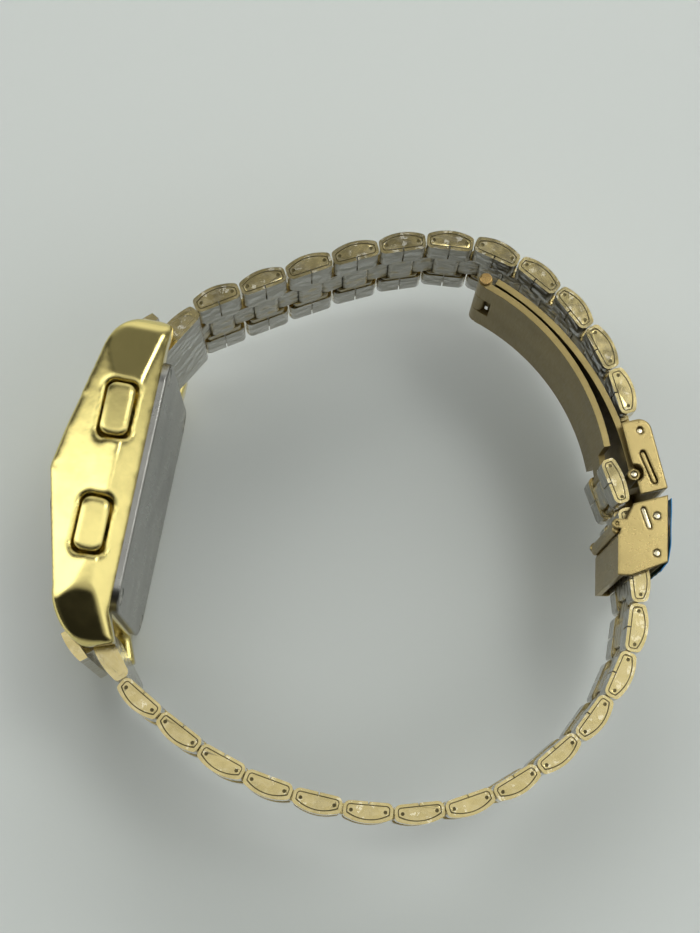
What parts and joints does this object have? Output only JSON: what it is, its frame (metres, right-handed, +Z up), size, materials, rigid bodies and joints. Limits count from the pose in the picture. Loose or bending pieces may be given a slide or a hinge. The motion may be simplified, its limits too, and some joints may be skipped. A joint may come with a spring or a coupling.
{
  "type": "led watch",
  "caption": "Gold wristwatch with a sloped oblong case, dark window, side pushers and a closed link bracelet that opens at a folding clasp",
  "frame": {"origin": "centre of the case back's flat outer face", "axes": "+X out of the case back into the wrist loop, +Y towards 12 o'clock, +Z towards 3 o'clock (the pusher side); the watch lies on its 9 o'clock flank, so +Z is up"},
  "size_m": [0.0735, 0.0728, 0.031],
  "materials": {
    "polished_gold": "polished gold plate",
    "clasp_gold": "brushed gold plate",
    "leaf_gold": "brushed gold plate, darker",
    "pin_brass": "turned brass",
    "steel": "fine brushed",
    "back_steel": "brushed steel",
    "rubber": "matte",
    "dark_lens": "polished tinted mineral glass",
    "display_black": "gloss",
    "led_red": "gloss",
    "module_plastic": "moulded matte",
    "board": "lacquered board",
    "blue_film": "thin clear blue film"
  },
  "bodies": {
    "case": {"case_body": "polished_gold", "case_back": "back_steel", "case_back_screws": "steel", "case_back_gasket": "rubber", "window_gasket": "rubber", "display_window": "dark_lens", "display_block": "display_black", "led_digits": "led_red", "module_holder": "module_plastic", "circuit_board": "board", "battery_cells": "steel", "battery_strap": "steel", "spring_bars": "steel", "pusher_spring_upper": "steel", "pusher_spring_lower": "steel"},
    "pusher_upper_body": {"pusher_upper": "polished_gold"},
    "pusher_lower_body": {"pusher_lower": "polished_gold"},
    "end_12": {"end_link_12": "polished_gold"},
    "end_6": {"end_link_6": "polished_gold"},
    "upper_01": {"upper_link_01": "polished_gold"},
    "upper_02": {"upper_link_02": "polished_gold"},
    "upper_03": {"upper_link_03": "polished_gold"},
    "upper_04": {"upper_link_04": "polished_gold"},
    "upper_05": {"upper_link_05": "polished_gold"},
    "upper_06": {"upper_link_06": "polished_gold"},
    "upper_07": {"upper_link_07": "polished_gold"},
    "upper_08": {"upper_link_08": "polished_gold"},
    "upper_09": {"upper_link_09": "polished_gold"},
    "upper_10": {"upper_link_10": "polished_gold"},
    "upper_11": {"upper_link_11": "polished_gold"},
    "lower_01": {"lower_link_01": "polished_gold"},
    "lower_02": {"lower_link_02": "polished_gold"},
    "lower_03": {"lower_link_03": "polished_gold"},
    "lower_04": {"lower_link_04": "polished_gold"},
    "lower_05": {"lower_link_05": "polished_gold"},
    "lower_06": {"lower_link_06": "polished_gold"},
    "lower_07": {"lower_link_07": "polished_gold"},
    "lower_08": {"lower_link_08": "polished_gold"},
    "lower_09": {"lower_link_09": "polished_gold"},
    "lower_10": {"lower_link_10": "polished_gold"},
    "lower_11": {"lower_link_11": "polished_gold"},
    "lower_12": {"lower_link_12": "polished_gold"},
    "lower_13": {"lower_link_13": "polished_gold"},
    "slide": {"lower_link_14": "polished_gold", "lower_link_15": "polished_gold", "slide_shell": "clasp_gold", "slide_pins": "steel", "protective_film": "blue_film"},
    "catch": {"slide_catch": "clasp_gold"},
    "box": {"clasp_box": "clasp_gold", "box_pin": "steel", "knuckle_pin": "steel"},
    "button_near_body": {"button_near": "clasp_gold"},
    "button_far_body": {"button_far": "clasp_gold"},
    "leaf_outer": {"outer_leaf": "leaf_gold", "leaf_pin": "pin_brass"},
    "leaf_inner": {"inner_leaf": "leaf_gold"},
    "last_link": {"lower_link_16": "polished_gold"}
  },
  "joints": [
    {"name": "lug_12", "type": "hinge", "parent": "case", "child": "end_12", "pos_m": [-0.0023, 0.0174, 0], "axis": [0, 0, 1], "range_deg": [0, 30.11]},
    {"name": "upper_bend_01", "type": "hinge", "parent": "end_12", "child": "upper_01", "pos_m": [0.00146, 0.02389, 0], "axis": [0, 0, 1], "range_deg": [0, 30.74]},
    {"name": "upper_bend_02", "type": "hinge", "parent": "upper_01", "child": "upper_02", "pos_m": [0.00649, 0.02717, 0], "axis": [0, 0, 1], "range_deg": [0, 4.99]},
    {"name": "upper_bend_03", "type": "hinge", "parent": "upper_02", "child": "upper_03", "pos_m": [0.01156, 0.03036, 0], "axis": [0, 0, 1], "range_deg": [0, 5.98]},
    {"name": "upper_bend_04", "type": "hinge", "parent": "upper_03", "child": "upper_04", "pos_m": [0.01675, 0.03338, 0], "axis": [0, 0, 1], "range_deg": [0, 7.96]},
    {"name": "upper_bend_05", "type": "hinge", "parent": "upper_04", "child": "upper_05", "pos_m": [0.02213, 0.03603, 0], "axis": [0, 0, 1], "range_deg": [0, 10.93]},
    {"name": "upper_bend_06", "type": "hinge", "parent": "upper_05", "child": "upper_06", "pos_m": [0.0278, 0.03801, 0], "axis": [0, 0, 1], "range_deg": [0, 18.36]},
    {"name": "upper_bend_07", "type": "hinge", "parent": "upper_06", "child": "upper_07", "pos_m": [0.03378, 0.03853, 0], "axis": [0, 0, 1], "range_deg": [0, 23.31]},
    {"name": "upper_bend_08", "type": "hinge", "parent": "upper_07", "child": "upper_08", "pos_m": [0.03959, 0.03704, 0], "axis": [0, 0, 1], "range_deg": [0, 18.86]},
    {"name": "upper_bend_09", "type": "hinge", "parent": "upper_08", "child": "upper_09", "pos_m": [0.04482, 0.03411, 0], "axis": [0, 0, 1], "range_deg": [0, 16.88]},
    {"name": "upper_bend_10", "type": "hinge", "parent": "upper_09", "child": "upper_10", "pos_m": [0.04927, 0.03008, 0], "axis": [0, 0, 1], "range_deg": [0, 14.89]},
    {"name": "upper_bend_11", "type": "hinge", "parent": "upper_10", "child": "upper_11", "pos_m": [0.05288, 0.02529, 0], "axis": [0, 0, 1], "range_deg": [0, 13.9]},
    {"name": "box_hinge", "type": "hinge", "parent": "upper_11", "child": "box", "pos_m": [0.05634, 0.01852, 0], "axis": [0, 0, 1], "range_deg": [0, 25]},
    {"name": "leaf_hinge", "type": "hinge", "parent": "box", "child": "leaf_outer", "pos_m": [0.05661, 0.01327, 0], "axis": [0, 0, 1], "range_deg": [0, 60]},
    {"name": "fold_hinge", "type": "hinge", "parent": "leaf_outer", "child": "leaf_inner", "pos_m": [0.03496, 0.03411, 0], "axis": [0, 0, -1], "range_deg": [0, 100]},
    {"name": "last_hinge", "type": "hinge", "parent": "leaf_inner", "child": "last_link", "pos_m": [0.05373, 0.01393, 0], "axis": [0, 0, -1], "range_deg": [0, 60]},
    {"name": "lug_6", "type": "hinge", "parent": "case", "child": "end_6", "pos_m": [-0.0023, -0.0174, 0], "axis": [0, 0, -1], "range_deg": [0, 39.11]},
    {"name": "lower_bend_01", "type": "hinge", "parent": "end_6", "child": "lower_01", "pos_m": [0.00243, -0.02322, 0], "axis": [0, 0, -1], "range_deg": [0, 25.13]},
    {"name": "lower_bend_02", "type": "hinge", "parent": "lower_01", "child": "lower_02", "pos_m": [0.00764, -0.0262, 0], "axis": [0, 0, -1], "range_deg": [0, 7.02]},
    {"name": "lower_bend_03", "type": "hinge", "parent": "lower_02", "child": "lower_03", "pos_m": [0.013, -0.0289, 0], "axis": [0, 0, -1], "range_deg": [0, 13.06]},
    {"name": "lower_bend_04", "type": "hinge", "parent": "lower_03", "child": "lower_04", "pos_m": [0.01871, -0.03072, 0], "axis": [0, 0, -1], "range_deg": [0, 12.55]},
    {"name": "lower_bend_05", "type": "hinge", "parent": "lower_04", "child": "lower_05", "pos_m": [0.02464, -0.03167, 0], "axis": [0, 0, -1], "range_deg": [0, 10.54]},
    {"name": "lower_bend_06", "type": "hinge", "parent": "lower_05", "child": "lower_06", "pos_m": [0.03063, -0.03194, 0], "axis": [0, 0, -1], "range_deg": [0, 12.55]},
    {"name": "lower_bend_07", "type": "hinge", "parent": "lower_06", "child": "lower_07", "pos_m": [0.0366, -0.03132, 0], "axis": [0, 0, -1], "range_deg": [0, 14.57]},
    {"name": "lower_bend_08", "type": "hinge", "parent": "lower_07", "child": "lower_08", "pos_m": [0.04235, -0.02961, 0], "axis": [0, 0, -1], "range_deg": [0, 17.08]},
    {"name": "lower_bend_09", "type": "hinge", "parent": "lower_08", "child": "lower_09", "pos_m": [0.04757, -0.02665, 0], "axis": [0, 0, -1], "range_deg": [0, 16.07]},
    {"name": "lower_bend_10", "type": "hinge", "parent": "lower_09", "child": "lower_10", "pos_m": [0.05205, -0.02266, 0], "axis": [0, 0, -1], "range_deg": [0, 13.06]},
    {"name": "lower_bend_11", "type": "hinge", "parent": "lower_10", "child": "lower_11", "pos_m": [0.05585, -0.01801, 0], "axis": [0, 0, -1], "range_deg": [0, 17.08]},
    {"name": "lower_bend_12", "type": "hinge", "parent": "lower_11", "child": "lower_12", "pos_m": [0.05849, -0.01263, 0], "axis": [0, 0, -1], "range_deg": [0, 16.07]},
    {"name": "lower_bend_13", "type": "hinge", "parent": "lower_12", "child": "lower_13", "pos_m": [0.05996, -0.00681, 0], "axis": [0, 0, -1], "range_deg": [0, 20.1]},
    {"name": "slide_hinge", "type": "hinge", "parent": "lower_13", "child": "slide", "pos_m": [0.05975, -0.00081, 0], "axis": [0, 0, -1], "range_deg": [0, 18.09]},
    {"name": "catch_hinge", "type": "hinge", "parent": "slide", "child": "catch", "pos_m": [0.05543, 0.00678, 0], "axis": [0, 0, -1], "range_deg": [0, 75]},
    {"name": "pusher_upper_press", "type": "slide", "parent": "case", "child": "pusher_upper_body", "axis": [0, 0, -1], "range_m": [0, 0.0007], "stiffness_N_per_m": 1500, "springref_m": -0.0005, "deforming": ["pusher_spring_upper"]},
    {"name": "pusher_lower_press", "type": "slide", "parent": "case", "child": "pusher_lower_body", "axis": [0, 0, -1], "range_m": [0, 0.0007], "stiffness_N_per_m": 1500, "springref_m": -0.0005, "deforming": ["pusher_spring_lower"]},
    {"name": "button_near_press", "type": "slide", "parent": "box", "child": "button_near_body", "axis": [0, 0, -1], "range_m": [0, 0.0005], "stiffness_N_per_m": 1000, "springref_m": -0.0004},
    {"name": "button_far_press", "type": "slide", "parent": "box", "child": "button_far_body", "axis": [0, 0, 1], "range_m": [0, 0.0005], "stiffness_N_per_m": 1000, "springref_m": -0.0004}
  ]
}
